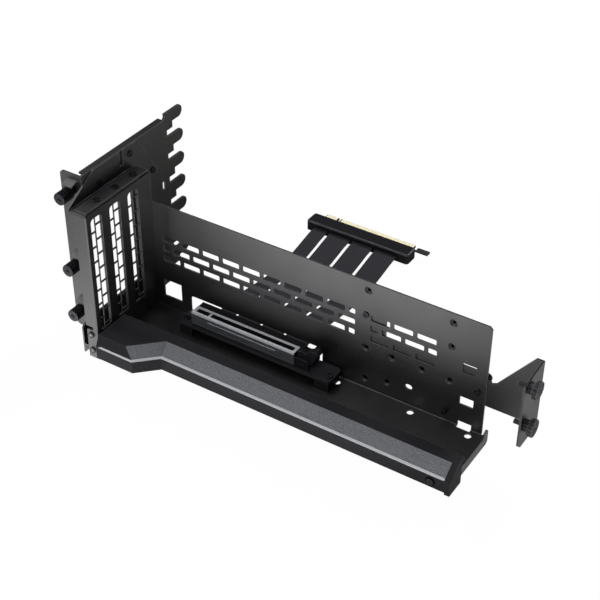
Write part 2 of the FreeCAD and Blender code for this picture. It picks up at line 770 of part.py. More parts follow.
def trim_block(inset, low):
    """The left block, its walls moved inward by the inset."""
    end_x = trim_left_x + inset
    front = trim_left_front_y + inset
    back = trim_back_y - inset
    shift = (-jog_out[0] * inset, -jog_out[1] * inset)
    start = (jog_low_x + shift[0], trim_left_front_y + shift[1])
    slope = jog_dy / jog_dx
    foot_x = start[0] + (front - start[1]) / slope
    reach_x = start[0] + (back - start[1]) / slope
    body = plate_z([(end_x, back), (end_x, front), (foot_x, front), (reach_x, back)], low, trim_top_z - inset)
    left_cut = bevel_cutter((0, trim_left_front_y), (0, -1), trim_left_top_y - trim_left_front_y,
                            trim_bevel_z, inset)
    jog_cut = bevel_cutter((jog_low_x, trim_left_front_y), jog_out, jog_bevel_w, trim_bevel_z, inset)
    cuts = [left_cut, jog_cut]
    if inset == 0:
        cuts.append(chamfer_cutter((0, trim_left_front_y), (0, -1), trim_left_top_y - trim_left_front_y))
        cuts.append(chamfer_cutter((jog_low_x, trim_left_front_y), jog_out, jog_bevel_w))
    return body.cut(cuts)


def trim_bar(inset, low):
    """The long bar, its walls moved inward by the inset."""
    front = trim_front_y + inset
    back = trim_back_y - inset
    start = jog_low_x if inset == 0 else jog_low_x - inset
    body = box(start, trim_end_x - inset * 1.8, front, back, low, trim_top_z - inset)
    cuts = [bevel_cutter((0, trim_front_y), (0, -1), trim_top_y - trim_front_y, trim_bevel_z, inset)]
    if inset == 0:
        cuts.append(chamfer_cutter((0, trim_front_y), (0, -1), trim_top_y - trim_front_y))
    return body.cut(cuts)


trim_block_solid = trim_block(0, trim_low_z)
trim_bar_solid = trim_bar(0, trim_low_z)
trim_outer = trim_block_solid.fuse(trim_bar_solid)
inlay_block = trim_block_solid.cut([trim_block(inlay_t, trim_low_z - 1), trim_bar_solid])
inlay_bar = trim_bar_solid.cut([trim_bar(inlay_t, trim_low_z - 1), trim_block_solid])
mid_z = (trim_bevel_z + trim_top_z) / 2
diagonal_zone = plate_z([
    (jog_low_x - jog_bevel_w / abs(jog_out[1]) - 4, trim_left_front_y - 2),
    (jog_low_end_x + 20, trim_left_front_y - 2), (jog_low_end_x + 20, trim_top_y + 3),
    (jog_low_x - jog_bevel_w / abs(jog_out[1]) - 4, trim_top_y + 3)], chamfer_high_z + inlay_edge,
    trim_top_z - inlay_t / 2)
corner_cut = bevel_cutter((0, trim_left_front_y), (0, -1), trim_left_top_y - trim_left_front_y, trim_bevel_z,
                          inlay_t)
inlay_block = inlay_block.common(diagonal_zone).cut(corner_cut)
bar_zone = box(jog_low_x - 20, trim_end_x - inlay_end, trim_front_y - 2, trim_top_y + 3,
               chamfer_high_z + inlay_edge, trim_top_z - inlay_t / 2)
inlay_bar = inlay_bar.common(bar_zone)
inlay = inlay_block.fuse(inlay_bar).removeSplitter()

hollow = trim_block(trim_wall, trim_low_z - 5).fuse(trim_bar(trim_wall, trim_low_z - 5))
lip = box(trim_left_x, trim_end_x, trim_back_y - 1, trim_lip_y, trim_lip_z, trim_top_z)
end_cap = box(trim_end_x - trim_wall * 1.8, trim_end_x, trim_front_y, trim_back_y, trim_end_low_z, 2)
ribs = [box(x - trim_rib_t / 2, x + trim_rib_t / 2, trim_front_y + 1, trim_back_y - 1, 0, trim_top_z)
        for x in trim_ribs_x]
bosses = [sided_rod("Z", (x, trim_boss_y), 0, trim_top_z, trim_boss_r, head_sides) for x in trim_boss_x]
inside = [part.common(hollow) for part in ribs + bosses]
trim = fuse([trim_outer.cut(hollow), lip, end_cap] + inside)
diagonal = tray_front_y - tray_left_y
tray_room = plate_z([(0, 5), (0, tray_left_y - fit_gap),
                     (jog_low_x - trim_wall - 2 + fit_gap / 2, tray_left_y - fit_gap),
                     (jog_low_x - trim_wall - 2 + diagonal + fit_gap / 2, tray_front_y - fit_gap),
                     (tray_end_x + fit_gap / 2, tray_front_y - fit_gap), (tray_end_x + fit_gap / 2, 5)],
                    trim_end_low_z - 1, 0)
screw_holes = [sided_rod("Z", (x, trim_boss_y), -2, trim_shank_l, screw_shank_r, shank_sides) for x in trim_boss_x]
end_hole = sided_rod("Y", (trim_screw_x, trim_screw_z), trim_front_y - 1, trim_front_y + trim_wall + 1,
                     screw_shank_r, shank_sides)
trim = drill(trim, [inlay, tray_room, end_hole] + screw_holes)
save("front_trim", trim)
save("trim_inlay", inlay)
save("trim_end_screw", screw("Y", (trim_screw_x, trim_screw_z), trim_front_y, -1, 3.5, trim_screw_r))
save("trim_screws", group([screw("Z", (x, trim_boss_y), -wall_t, -1, trim_shank_l) for x in trim_boss_x]))


# Riser board on two blocks
board = round_box(board_x[0], board_x[1], board_y[0], board_y[1], board_low_z, board_top_z, "z", board_r)
board = drill(board, [hole("Z", (x, board_screw_y), 0, board_top_z + 1) for x in board_screws_x])
save("riser_board", board)
left_block = (board_x[0] + block_inset, board_x[0] + block_inset + block_l)
right_block = (board_x[1] - block_inset - block_l, board_x[1] - block_inset)
for name, span, x in (("left", left_block, board_screws_x[0]), ("right", right_block, board_screws_x[1])):
    block = box(span[0], span[1], block_y[0], block_y[1], 0, board_low_z)
    block = block.cut(sided_rod("Z", (x, board_screw_y), -1, board_low_z + 1, screw_shank_r, shank_sides))
    save("board_block_" + name, block)
save("board_screws", group([screw("Z", (x, board_screw_y), board_top_z, 1, board_top_z + wall_t)
                            for x in board_screws_x]))


# Card socket with its shield, contacts and latch
socket_x1 = socket_x0 + socket_l
socket_y = (socket_mid_y - socket_w / 2, socket_mid_y + socket_w / 2)
cavity_y = (socket_mid_y - socket_cavity_w / 2, socket_mid_y + socket_cavity_w / 2)
cheek_x1 = socket_x1 + latch_cheek_l
latch_pivot = (socket_x1 + latch_pivot_out, latch_pivot_z)
socket = box(socket_x0, socket_x1, socket_y[0], socket_y[1], board_top_z, socket_top_z)
cavity = box(socket_x0 + socket_wall_end, socket_x1 - socket_wall_end, cavity_y[0], cavity_y[1],
             socket_floor_z, socket_top_z + 1)
key = box(key_x - key_w / 2, key_x + key_w / 2, cavity_y[0] - 0.5, cavity_y[1] + 0.5, socket_floor_z,
          socket_top_z)
cheeks = [box(socket_x1 - 0.5, cheek_x1, socket_y[0], socket_y[0] + latch_cheek_t, board_top_z, latch_cheek_top),
          box(socket_x1 - 0.5, cheek_x1, socket_y[1] - latch_cheek_t, socket_y[1], board_top_z, latch_cheek_top)]
cheeks = [rounded(c, 2.0, lambda e, m: runs_along(e, "y") and abs(m.x - cheek_x1) < 1e-6
                  and abs(m.z - latch_cheek_top) < 1e-6) for c in cheeks]
socket = fuse([socket.cut(cavity), key] + cheeks)
socket = socket.cut(rod("Y", latch_pivot, socket_y[0] - 1, socket_y[1] + 1, latch_pin_r + turn_gap))
save("socket_body", socket)

rim_x1 = socket_x1
shell = box(socket_x0 - shield_t, rim_x1, socket_y[0] - shield_t, socket_y[1] + shield_t, shield_low_z,
            socket_top_z + shield_t)
core = box(socket_x0, rim_x1 + 1, socket_y[0], socket_y[1], shield_low_z - 1, socket_top_z)
mouth = box(socket_x0 + socket_wall_end, socket_x1 - socket_wall_end, cavity_y[0], cavity_y[1],
            socket_floor_z, socket_top_z + 2)
shield = shell.cut([core, mouth])
bridge = box(key_x - key_w / 2, key_x + key_w / 2, cavity_y[0] - 0.2, cavity_y[1] + 0.2, socket_top_z,
             socket_top_z + shield_t)
save("socket_shield", fuse([shield, bridge]))

contacts = []
x = socket_x0 + socket_wall_end + 1
while x + contact_w < socket_x1 - socket_wall_end:
    if x + contact_w < key_x - key_w / 2 or x > key_x + key_w / 2:
        for y0 in (cavity_y[0], cavity_y[1] - contact_t):
            contacts.append(box(x, x + contact_w, y0, y0 + contact_t, socket_floor_z,
                                socket_floor_z + contact_h))
    x += contact_pitch
save("socket_contacts", group(contacts))


def make_latch():
    px, pz = latch_pivot
    y0 = socket_y[0] + latch_cheek_t + latch_play
    y1 = socket_y[1] - latch_cheek_t - latch_play
    hub = rod("Y", latch_pivot, y0, y1, latch_hub_r)
    arm = plate_y([(px - latch_hub_r, pz), (px - latch_hub_r - 0.4, pz + 8.8), (px - 1.5, pz + 9.8),
                   (px + 2.5, pz + 8.6), (px + 5.0, pz + 12.2), (px + 11.0, pz + 14.2),
                   (px + 12.6, pz + 11.6), (px + 10.4, pz + 8.4), (px + 7.6, pz + 1.8), (px + 3.0, pz - 2.6),
                   (px - 2.0, pz - 2.6)], y0, y1)
    pin = rod("Y", latch_pivot, socket_y[0] + 0.2, socket_y[1] - 0.2, latch_pin_r)
    grip = sided_rod("Y", (px + 9.6, pz + 12.2), y0 - 1.0, y1 + 1.0, 1.6, head_sides)
    return fuse([hub, arm, pin, grip])


save("socket_latch", make_latch())


# Flat cable: strain relief on the board, four bands, and the plug
relief = box(relief_x[0], relief_x[1], relief_y[0], relief_y[1], board_top_z, board_top_z + relief_h)
relief = rounded(relief, relief_r, lambda e, m: runs_along(e, "x") and m.z > board_top_z + 1
                 and m.y < relief_y[1] - 1)
relief = relief.fuse(box(relief_x[1], relief_step_x, relief_y[0], relief_y[1], board_top_z,
                         board_top_z + relief_step_h))
save("cable_relief", relief)


def make_band(index):
    width = band_w[index]
    first = band_start_x[index]
    last = band_end_x[index]
    start_y = band_route[0][0]
    span = band_route[-1][0] - start_y
    wires = []
    for y, z in band_route:
        part = (y - start_y) / span
        x = first + (last - first) * part * part * (3 - 2 * part)
        low = z - band_t / 2
        wires.append(Part.makePolygon([V(x, y, low), V(x + width, y, low), V(x + width, y, low + band_t),
                                       V(x, y, low + band_t), V(x, y, low)]))
    return Part.makeLoft(wires, True, True)


for number in range(len(band_w)):
    save("cable_band_" + str(number + 1), make_band(number))

plug = box(plug_x[0], plug_x[1], plug_y[0], plug_y[1], plug_low_z, plug_top_z)
plug = rounded(plug, plug_r, lambda e, m: runs_along(e, "z"))
plug = plug.makeChamfer(plug_edge, [e for e in plug.Edges if abs(e.CenterOfMass.z - plug_top_z) < 1e-6])
edge_low = edge_mid_z - edge_t / 2
edge_high = edge_mid_z + edge_t / 2
edge_x1 = edge_x0 + edge_l
key_x0 = edge_x0 + edge_key_at
card = plate_z([(edge_x0, edge_root_y), (edge_x0, edge_y - 1), (edge_x0 + 1, edge_y), (key_x0, edge_y),
                (key_x0, plug_y[1] - 2), (key_x0 + edge_key_w, plug_y[1] - 2), (key_x0 + edge_key_w, edge_y),
                (edge_x1 - 1, edge_y), (edge_x1, edge_y - 1), (edge_x1, hook_slit_y),
                (edge_x1 + hook_slit_w, hook_slit_y), (edge_x1 + hook_slit_w, hook_y[1]),
                (hook_tip_x, hook_y[1]), (hook_tip_x, hook_y[0]), (plug_x[1] - 3, hook_y[0]),
                (plug_x[1] - 3, edge_root_y)], edge_low, edge_high)
save("plug_board", card)
save("plug_shell", plug.cut(card))
pads = []
x = edge_x0 + 0.8
while x + pad_w < edge_x1 - 0.6:
    if x + pad_w < key_x0 or x > key_x0 + edge_key_w:
        for z0 in (edge_low - pad_t, edge_high):
            pads.append(box(x, x + pad_w, edge_y - 0.6 - pad_l, edge_y - 0.6, z0, z0 + pad_t))
    x += pad_pitch
save("plug_pads", group(pads))


# Side brace: a plate behind the wall, folded forward at its end
def make_brace():
    y0 = wall_t
    y1 = wall_t + brace_t
    tab_x0, tab_x1 = brace_tab_x
    neck_x0, neck_x1 = brace_neck_x
    rise_x, rise_z = brace_rise
    plate = plate_y([(brace_left_x, brace_low_z), (brace_left_x, brace_left_top_z),
                     (brace_left_end_x, brace_left_top_z), (brace_left_end_x, brace_strip_z),
                     (tab_x0, brace_strip_z), (tab_x0, brace_tab_z), (tab_x1, brace_tab_z),
                     (neck_x0, brace_neck_z + 1), (neck_x0, brace_neck_z), (neck_x1, brace_neck_z + 1.6),
                     (rise_x, rise_z), (brace_end_x, rise_z), (brace_end_x, brace_low_z)], y0, y1)
    cut_y, cut_z = brace_front_cut
    flange = plate_x([(y1, brace_low_z), (y1, rise_z), (brace_front_y, brace_front_top_z),
                      (brace_front_y, cut_z), (cut_y, brace_flange_low_z), (0, brace_flange_low_z)],
                     brace_end_x - brace_t, brace_end_x)
    brace = fuse([plate, flange])
    cuts = [hole("Y", at, y0 - 1, y1 + 1) for at in (brace_screw_at, wall_screw_at, brace_bolt_at)]
    for at in dimples:
        if brace_left_x < at[0] and brace_low_z < at[1] < brace_strip_z:
            cuts.append(sided_rod("Y", at, y0 - 1, y1 + 1, nut_r + brace_nut_gap, shank_sides))
    for z in brace_screw_z:
        cuts.append(hole("X", (brace_screw_y, z), brace_end_x - brace_t - 1, brace_end_x + 1,
                         thumb_shank_r + turn_gap))
    return drill(brace, cuts)


def make_brace_thumb(z):
    at = (brace_screw_y, z)
    seat = brace_end_x + face_gap
    hub = sided_rod("X", at, seat, seat + brace_hub_l, brace_hub_r, head_sides)
    knob_end = seat + brace_hub_l + brace_knob_l
    knob = knurled("X", at, seat + brace_hub_l, knob_end, brace_knob_r)
    shank = rod("X", at, seat - brace_t - brace_shank_l, seat, thumb_shank_r)
    mark = cross("X", at, knob_end, -1, recess_l, recess_w, recess_d)
    return fuse([knob, hub, shank]).cut(mark)


save("side_brace", make_brace())
brace_back_y = wall_t + brace_t
bolt = sided_rod("Y", brace_bolt_at, brace_back_y, brace_back_y + brace_bolt_h, brace_bolt_r, head_sides)
bolt = bolt.fuse(sided_rod("Y", brace_bolt_at, wall_t, brace_back_y, screw_shank_r, shank_sides))
save("brace_bolt", bolt)
save("brace_thumb_screw_upper", make_brace_thumb(brace_screw_z[0]))
save("brace_thumb_screw_lower", make_brace_thumb(brace_screw_z[1]))
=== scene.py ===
import math

import bmesh
import bpy
from mathutils import Matrix, Vector


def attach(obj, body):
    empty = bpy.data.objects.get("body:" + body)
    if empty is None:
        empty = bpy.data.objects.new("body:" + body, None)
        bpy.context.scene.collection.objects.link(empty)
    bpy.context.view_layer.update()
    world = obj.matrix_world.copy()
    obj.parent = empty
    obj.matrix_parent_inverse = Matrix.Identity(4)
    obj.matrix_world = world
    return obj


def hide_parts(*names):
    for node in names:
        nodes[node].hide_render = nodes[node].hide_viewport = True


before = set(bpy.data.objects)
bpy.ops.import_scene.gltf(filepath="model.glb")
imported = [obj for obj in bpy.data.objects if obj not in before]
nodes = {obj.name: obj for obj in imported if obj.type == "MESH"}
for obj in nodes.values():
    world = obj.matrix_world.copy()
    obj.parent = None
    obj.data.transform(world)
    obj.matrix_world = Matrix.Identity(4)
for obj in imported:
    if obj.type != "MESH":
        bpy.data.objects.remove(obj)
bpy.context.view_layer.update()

mm = 0.001


def linearColour(hexText):
    # sRGB hex to linear RGBA
    channels = []
    for i in (1, 3, 5):
        c = int(hexText[i:i + 2], 16) / 255
        channels.append(c / 12.92 if c <= 0.04045 else ((c + 0.055) / 1.055) ** 2.4)
    return (*channels, 1.0)


def perMetre(sizeMm):
    # a pattern's scale from the size of one grain or thread
    return 1.0 / (sizeMm * mm)


def addNode(tree, kind, settings=None, **links):
    # one node with its settings and links; a link that isn't a socket is a socket's own value
    node = tree.nodes.new(kind)
    for key, value in (settings or {}).items():
        if key == "stops":
            elements = node.color_ramp.elements
            while len(elements) < len(value):
                elements.new(0.5)
            for element, (place, hexText) in zip(elements, value):
                element.position = place
                element.color = linearColour(hexText)
        else:
            setattr(node, key, value)
    for key, value in links.items():
        numbered = key[0] == "i" and key[1:].isdigit()
        socket = node.inputs[int(key[1:]) if numbered else key.replace("_", " ")]
        if isinstance(value, bpy.types.NodeSocket):
            tree.links.new(value, socket)
        else:
            socket.default_value = value
    return node


def newMaterial(name):
    material = bpy.data.materials.new(name)
    material.use_nodes = True
    tree = material.node_tree
    tree.nodes.clear()
    return material, tree


noiseLow, noiseHigh = 0.3, 0.7        # the span that nearly all of a noise lies in


def edgeMask(tree, radiusMm, flatDot=0.995, sharpDot=0.80):
    # 1 along sharp edges, from the angle between the rounded and the true normal
    rounded = addNode(tree, "ShaderNodeBevel", {"samples": 4}, Radius=radiusMm * mm).outputs["Normal"]
    true = addNode(tree, "ShaderNodeNewGeometry").outputs["Normal"]
    dot = addNode(tree, "ShaderNodeVectorMath", {"operation": "DOT_PRODUCT"}, i0=rounded, i1=true)
    mask = addNode(tree, "ShaderNodeMapRange", Value=dot.outputs["Value"], From_Min=flatDot,
                   From_Max=sharpDot, To_Min=0.0, To_Max=1.0)
    return rounded, mask.outputs["Result"]


coated = {"grainDetail": 2.0, "grainRoughness": 0.6, "blotchDetail": 3.0, "blotchRoughness": 0.5,
          "roughSpread": 0.05, "bumpShare": 0.3, "coatRoughness": 0.38}


def coatedSurface(name, spec):
    # paint, plastic or oxide: grain in tone and bump, slow blotches in roughness, painted highlight on
    # edges
    material, tree = newMaterial(name)
    place = addNode(tree, "ShaderNodeTexCoord").outputs["Object"]
    grain = addNode(tree, "ShaderNodeTexNoise", Vector=place, Scale=perMetre(spec["grainMm"]),
                    Detail=coated["grainDetail"], Roughness=coated["grainRoughness"]).outputs["Fac"]
    blotch = addNode(tree, "ShaderNodeTexNoise", Vector=place, Scale=perMetre(spec["blotchMm"]),
                     Detail=coated["blotchDetail"], Roughness=coated["blotchRoughness"]).outputs["Fac"]
    roundNormal, edges = edgeMask(tree, spec["edgeMm"])
    tone = addNode(tree, "ShaderNodeValToRGB",
                   {"stops": [(noiseLow, spec["dark"]), (noiseHigh, spec["light"])]}, i0=grain)
    # painted highlight: the spec's edge colour mixed in along sharp edges
    paintedEdgeHighlight = addNode(tree, "ShaderNodeMix", {"data_type": "RGBA"}, i0=edges, i6=tone.outputs["Color"],
                   i7=linearColour(spec["edge"]))
    rough = addNode(tree, "ShaderNodeMapRange", Value=blotch, From_Min=noiseLow, From_Max=noiseHigh,
                    To_Min=spec["rough"] - coated["roughSpread"],
                    To_Max=spec["rough"] + coated["roughSpread"]).outputs["Result"]
    bump = addNode(tree, "ShaderNodeBump", Strength=spec["bump"],
                   Distance=spec["grainMm"] * mm * coated["bumpShare"],
                   Height=grain, Normal=roundNormal).outputs["Normal"]
    shader = addNode(tree, "ShaderNodeBsdfPrincipled", Base_Color=paintedEdgeHighlight.outputs[2], Roughness=rough,
                     Normal=bump, Metallic=spec["metal"])
    if not spec["metal"]:
        shader.inputs["IOR"].default_value = spec["ior"]
        shader.inputs["Coat Weight"].default_value = spec.get("coat", 0.0)
        shader.inputs["Coat Roughness"].default_value = coated["coatRoughness"]
    addNode(tree, "ShaderNodeOutputMaterial", i0=shader.outputs["BSDF"])
    return material


# In each finish below, edge is a painted highlight along sharp edges, where it is lighter than the tone
# Steel sheet, powder coated: a dull black skin with orange-peel grain, and a painted highlight on its
# edges.
# The real grain of about 0.3 mm is drawn at 0.9 mm so that it shows
powderCoat = {"grainMm": 0.9, "blotchMm": 30, "edgeMm": 0.5, "dark": "#0f0f11", "light": "#161618",
              "edge": "#86878b", "rough": 0.42, "bump": 0.6, "metal": 0.0, "ior": 2.45, "coat": 1.0}
# The front trim, ABS moulded in a spark-eroded tool: a flat, very even dark grey
trimAbs = {"grainMm": 0.45, "blotchMm": 40, "edgeMm": 0.5, "dark": "#29292c", "light": "#333336",
           "edge": "#5e5f63", "rough": 0.5, "bump": 0.2, "metal": 0.0, "ior": 1.28}
# Glass-epoxy board under black solder mask: smooth and a little glossy, with a faint weave below
solderMask = {"grainMm": 0.8, "blotchMm": 18, "edgeMm": 0.2, "dark": "#29292c", "light": "#353539",
              "edge": "#2c2c30", "rough": 0.34, "bump": 0.12, "metal": 0.0, "ior": 1.52, "coat": 0.3}
# Glass-filled nylon, moulded, on socket, latch, blocks and relief: dense black with a faint sheen
nylon = {"grainMm": 0.4, "blotchMm": 15, "edgeMm": 0.4, "dark": "#151517", "light": "#1f1f22",
         "edge": "#66666a", "rough": 0.42, "bump": 0.2, "metal": 0.0, "ior": 1.53}
# The plug's shell in the same nylon, with the wide lit chamfer of its mould
plugNylon = dict(nylon, edgeMm=1.3, edge="#96979b")
# Steel with black oxide, on the screws and nuts: dark metal that still glints on its rims
blackOxide = {"grainMm": 0.35, "blotchMm": 8, "edgeMm": 0.3, "dark": "#505056", "light": "#66666c",
              "edge": "#b0b1b6", "rough": 0.36, "bump": 0.2, "metal": 1.0}
# The brace's knurled knobs, phosphated and oiled: a softer dark skin than the oxide, lit on its rims
knurledPhosphate = {"grainMm": 0.35, "blotchMm": 8, "edgeMm": 0.6, "dark": "#232326", "light": "#2f2f33",
                    "edge": "#a9aaaf", "rough": 0.36, "bump": 0.2, "metal": 0.0, "ior": 1.6}
# ABS at the bottom of a moulded recess: the trim's plastic in shade, so nearly black
shadedAbs = {"grainMm": 0.45, "blotchMm": 40, "edgeMm": 0.1, "dark": "#050506", "light": "#0a0a0b",
             "edge": "#101011", "rough": 0.7, "bump": 0.1, "metal": 0.0, "ior": 1.3}
# Hot-stamped silver foil, in the trim's chamfer and for the smallest bright marks: even and satin
silverFoil = {"grainMm": 0.6, "blotchMm": 12, "edgeMm": 0.1, "dark": "#d0d1d5", "light": "#dcdde1",
              "edge": "#e4e5e9", "rough": 0.35, "bump": 0.05, "metal": 0.0, "ior": 1.5}
# Flat cable in a soft vinyl jacket: matte, with a fine grain
cableVinyl = {"grainMm": 0.6, "blotchMm": 25, "edgeMm": 0.4, "dark": "#232326", "light": "#303034",
              "edge": "#37373a", "rough": 0.58, "bump": 0.3, "metal": 0.0, "ior": 1.5}
# ABS moulded with metal flake, on the inlay: grey with light and dark specks. The real flakes of
# about 0.2 mm are drawn at 0.7 mm so that they show
flakedAbs = {"speckMm": 0.7, "fineMm": 0.45, "fineShare": 0.35, "dark": "#5b5c60", "mid": "#76777c",
             "light": "#95969b", "edge": "#9a9ba0", "edgeMm": 0.5, "flatDot": 0.998, "sharpDot": 0.955,
             "rough": 0.42, "bump": 0.3, "bumpMm": 0.1, "metal": 0.25}
# Stainless strip, brushed lengthwise: fine streaks; a painted highlight on the rim, painted shade on the
# skirt
brushedStainless = {"streakMm": 0.5, "stretch": (0.03, 1.0, 1.0), "dark": "#d8dae0", "light": "#f2f3f8",
                    "skirtDark": "#505255", "skirtLight": "#66686c", "rimFromZ": 20.2, "rimFullZ": 20.5,
                    "rough": (0.24, 0.38), "edgeMm": 0.2, "bump": 0.15, "bumpMm": 0.05, "metal": 0.2}
# Hard gold plated over nickel: warm, nearly smooth, slightly uneven, drawn pale as a painted highlight
hardGold = {"cloudMm": 1.5, "dark": "#f2e6bd", "light": "#fbf4da", "rough": (0.3, 0.4), "metal": 0.2}


def flakedInlay():
    spec = flakedAbs
    material, tree = newMaterial("speckledAbsInlay")
    place = addNode(tree, "ShaderNodeTexCoord").outputs["Object"]
    coarse = addNode(tree, "ShaderNodeTexNoise", Vector=place, Scale=perMetre(spec["speckMm"]),
                     Detail=3.0, Roughness=0.7).outputs["Fac"]
    fine = addNode(tree, "ShaderNodeTexVoronoi", Vector=place,
                   Scale=perMetre(spec["fineMm"])).outputs["Distance"]
    mixed = addNode(tree, "ShaderNodeMath", {"operation": "MULTIPLY_ADD"}, i0=fine,
                    i1=spec["fineShare"], i2=coarse)
    tone = addNode(tree, "ShaderNodeValToRGB", {
        "stops": [(0.45, spec["dark"]), (0.6, spec["mid"]), (0.8, spec["light"])]}, i0=mixed.outputs[0])
    # painted highlight along the inlay's sharp edges
    roundNormal, edges = edgeMask(tree, spec["edgeMm"], spec["flatDot"], spec["sharpDot"])
    paintedInlayEdgeHighlight = addNode(tree, "ShaderNodeMix", {"data_type": "RGBA"}, i0=edges, i6=tone.outputs["Color"],
                     i7=linearColour(spec["edge"]))
    bump = addNode(tree, "ShaderNodeBump", Strength=spec["bump"], Distance=spec["bumpMm"] * mm,
                   Height=coarse, Normal=roundNormal)
    shader = addNode(tree, "ShaderNodeBsdfPrincipled", Base_Color=paintedInlayEdgeHighlight.outputs[2],
                     Roughness=spec["rough"], Normal=bump.outputs["Normal"], Metallic=spec["metal"])
    addNode(tree, "ShaderNodeOutputMaterial", i0=shader.outputs["BSDF"])
    return material


def brushedShield():
    spec = brushedStainless
    material, tree = newMaterial("brushedSteelShield")
    place = addNode(tree, "ShaderNodeTexCoord").outputs["Object"]
    along = addNode(tree, "ShaderNodeMapping", Vector=place, Scale=spec["stretch"]).outputs["Vector"]
    streaks = addNode(tree, "ShaderNodeTexNoise", Vector=along, Scale=perMetre(spec["streakMm"]),
                      Detail=2.0, Roughness=0.7).outputs["Fac"]
    bright = addNode(tree, "ShaderNodeValToRGB",
                     {"stops": [(noiseLow, spec["dark"]), (noiseHigh, spec["light"])]}, i0=streaks)
    skirt = addNode(tree, "ShaderNodeValToRGB",
                    {"stops": [(noiseLow, spec["skirtDark"]), (noiseHigh, spec["skirtLight"])]}, i0=streaks)
    # painted light by height: the rim above rimFromZ drawn bright, the skirt below it in painted shade
    height = addNode(tree, "ShaderNodeSeparateXYZ", i0=place).outputs["Z"]
    paintedLightByHeight = addNode(tree, "ShaderNodeMapRange", Value=height, From_Min=spec["rimFromZ"] * mm,
                  From_Max=spec["rimFullZ"] * mm, To_Min=0.0, To_Max=1.0).outputs["Result"]
    tone = addNode(tree, "ShaderNodeMix", {"data_type": "RGBA"}, i0=paintedLightByHeight, i6=skirt.outputs["Color"],
                   i7=bright.outputs["Color"])
    smooth, dull = spec["rough"]
    rough = addNode(tree, "ShaderNodeMapRange", Value=streaks, From_Min=noiseLow, From_Max=noiseHigh,
                    To_Min=smooth, To_Max=dull).outputs["Result"]
    roundNormal = edgeMask(tree, spec["edgeMm"])[0]
    bump = addNode(tree, "ShaderNodeBump", Strength=spec["bump"], Distance=spec["bumpMm"] * mm,
                   Height=streaks, Normal=roundNormal)
    shader = addNode(tree, "ShaderNodeBsdfPrincipled", Base_Color=tone.outputs[2], Roughness=rough,
                     Normal=bump.outputs["Normal"], Metallic=spec["metal"])
    addNode(tree, "ShaderNodeOutputMaterial", i0=shader.outputs["BSDF"])
    return material


def goldPlate():
    spec = hardGold
    material, tree = newMaterial("hardGoldPlate")
    place = addNode(tree, "ShaderNodeTexCoord").outputs["Object"]
    cloud = addNode(tree, "ShaderNodeTexNoise", Vector=place, Scale=perMetre(spec["cloudMm"]),
                    Detail=2.0).outputs["Fac"]
    tone = addNode(tree, "ShaderNodeValToRGB",
                   {"stops": [(noiseLow, spec["dark"]), (noiseHigh, spec["light"])]}, i0=cloud)
    smooth, dull = spec["rough"]
    rough = addNode(tree, "ShaderNodeMapRange", Value=cloud, From_Min=noiseLow, From_Max=noiseHigh,
                    To_Min=smooth, To_Max=dull).outputs["Result"]
    shader = addNode(tree, "ShaderNodeBsdfPrincipled", Base_Color=tone.outputs["Color"],
                     Roughness=rough, Metallic=spec["metal"])
    addNode(tree, "ShaderNodeOutputMaterial", i0=shader.outputs["BSDF"])
    return material


materials = {
    "sheet": coatedSurface("powderCoatedSteel", powderCoat),
    "trim": coatedSurface("mouldedAbsTrim", trimAbs),
    "inlay": flakedInlay(),
    "board": coatedSurface("solderMaskBoard", solderMask),
    "nylon": coatedSurface("mouldedNylon", nylon),
    "plugShell": coatedSurface("mouldedNylonPlug", plugNylon),
    "oxide": coatedSurface("blackOxideSteel", blackOxide),
    "knurl": coatedSurface("phosphatedSteelKnob", knurledPhosphate),
    "cable": coatedSurface("vinylCableJacket", cableVinyl),
    "foil": coatedSurface("hotStampedSilverFoil", silverFoil),
    "shadowed": coatedSurface("paintedShadeAbs", shadedAbs),
    "shield": brushedShield(),
    "gold": goldPlate(),
}
print("materials made", len(materials))

nodeFinish = {
    "sheet": ["main_sheet", "slot_frame", "rear_panel", "side_brace", "cover_clamp", "slot_cover_1",
              "slot_cover_2", "slot_cover_3"],
    "trim": ["front_trim"],
    "inlay": ["trim_inlay"],
    "board": ["riser_board", "plug_board"],
    "nylon": ["board_block_left", "board_block_right", "socket_body", "socket_latch", "cable_relief"],
    "plugShell": ["plug_shell"],
    "oxide": ["cover_screws", "upstand_screws", "wall_screw", "brace_wall_screw", "wall_stud",
              "thumb_screw_upper", "thumb_screw_middle", "thumb_screw_lower", "trim_end_screw",
              "trim_screws", "board_screws", "brace_bolt", "foot_screws", "face_screws", "press_nuts"],
    "knurl": ["brace_thumb_screw_upper", "brace_thumb_screw_lower"],
    "cable": ["cable_band_1", "cable_band_2", "cable_band_3", "cable_band_4"],
    "shield": ["socket_shield"],
    "gold": ["socket_contacts", "plug_pads"],
}
for finish, names in nodeFinish.items():
    for name in names:
        piece = nodes[name]
        piece.data.materials.clear()
        piece.data.materials.append(materials[finish])
print("solids finished", sum(len(names) for names in nodeFinish.values()))


def meshPiece(name, bm, material, body="bracket"):
    # a new piece from a bmesh, riding on a body
    bmesh.ops.recalc_face_normals(bm, faces=bm.faces)
    bm.normal_update()
    mesh = bpy.data.meshes.new(name)
    bm.to_mesh(mesh)
    bm.free()
    piece = bpy.data.objects.new(name, mesh)
    bpy.context.scene.collection.objects.link(piece)
    mesh.materials.append(material)
    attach(piece, body)
    return piece


def addBox(bm, low, high):
    verts = []
    for z in (low[2], high[2]):
        for x, y in ((low[0], low[1]), (high[0], low[1]), (high[0], high[1]), (low[0], high[1])):
            verts.append(bm.verts.new((x * mm, y * mm, z * mm)))
    a, b, c, d, e, f, g, h = verts
    for face in ((d, c, b, a), (e, f, g, h), (a, b, f, e), (b, c, g, f), (c, d, h, g), (d, a, e, h)):
        bm.faces.new(face)


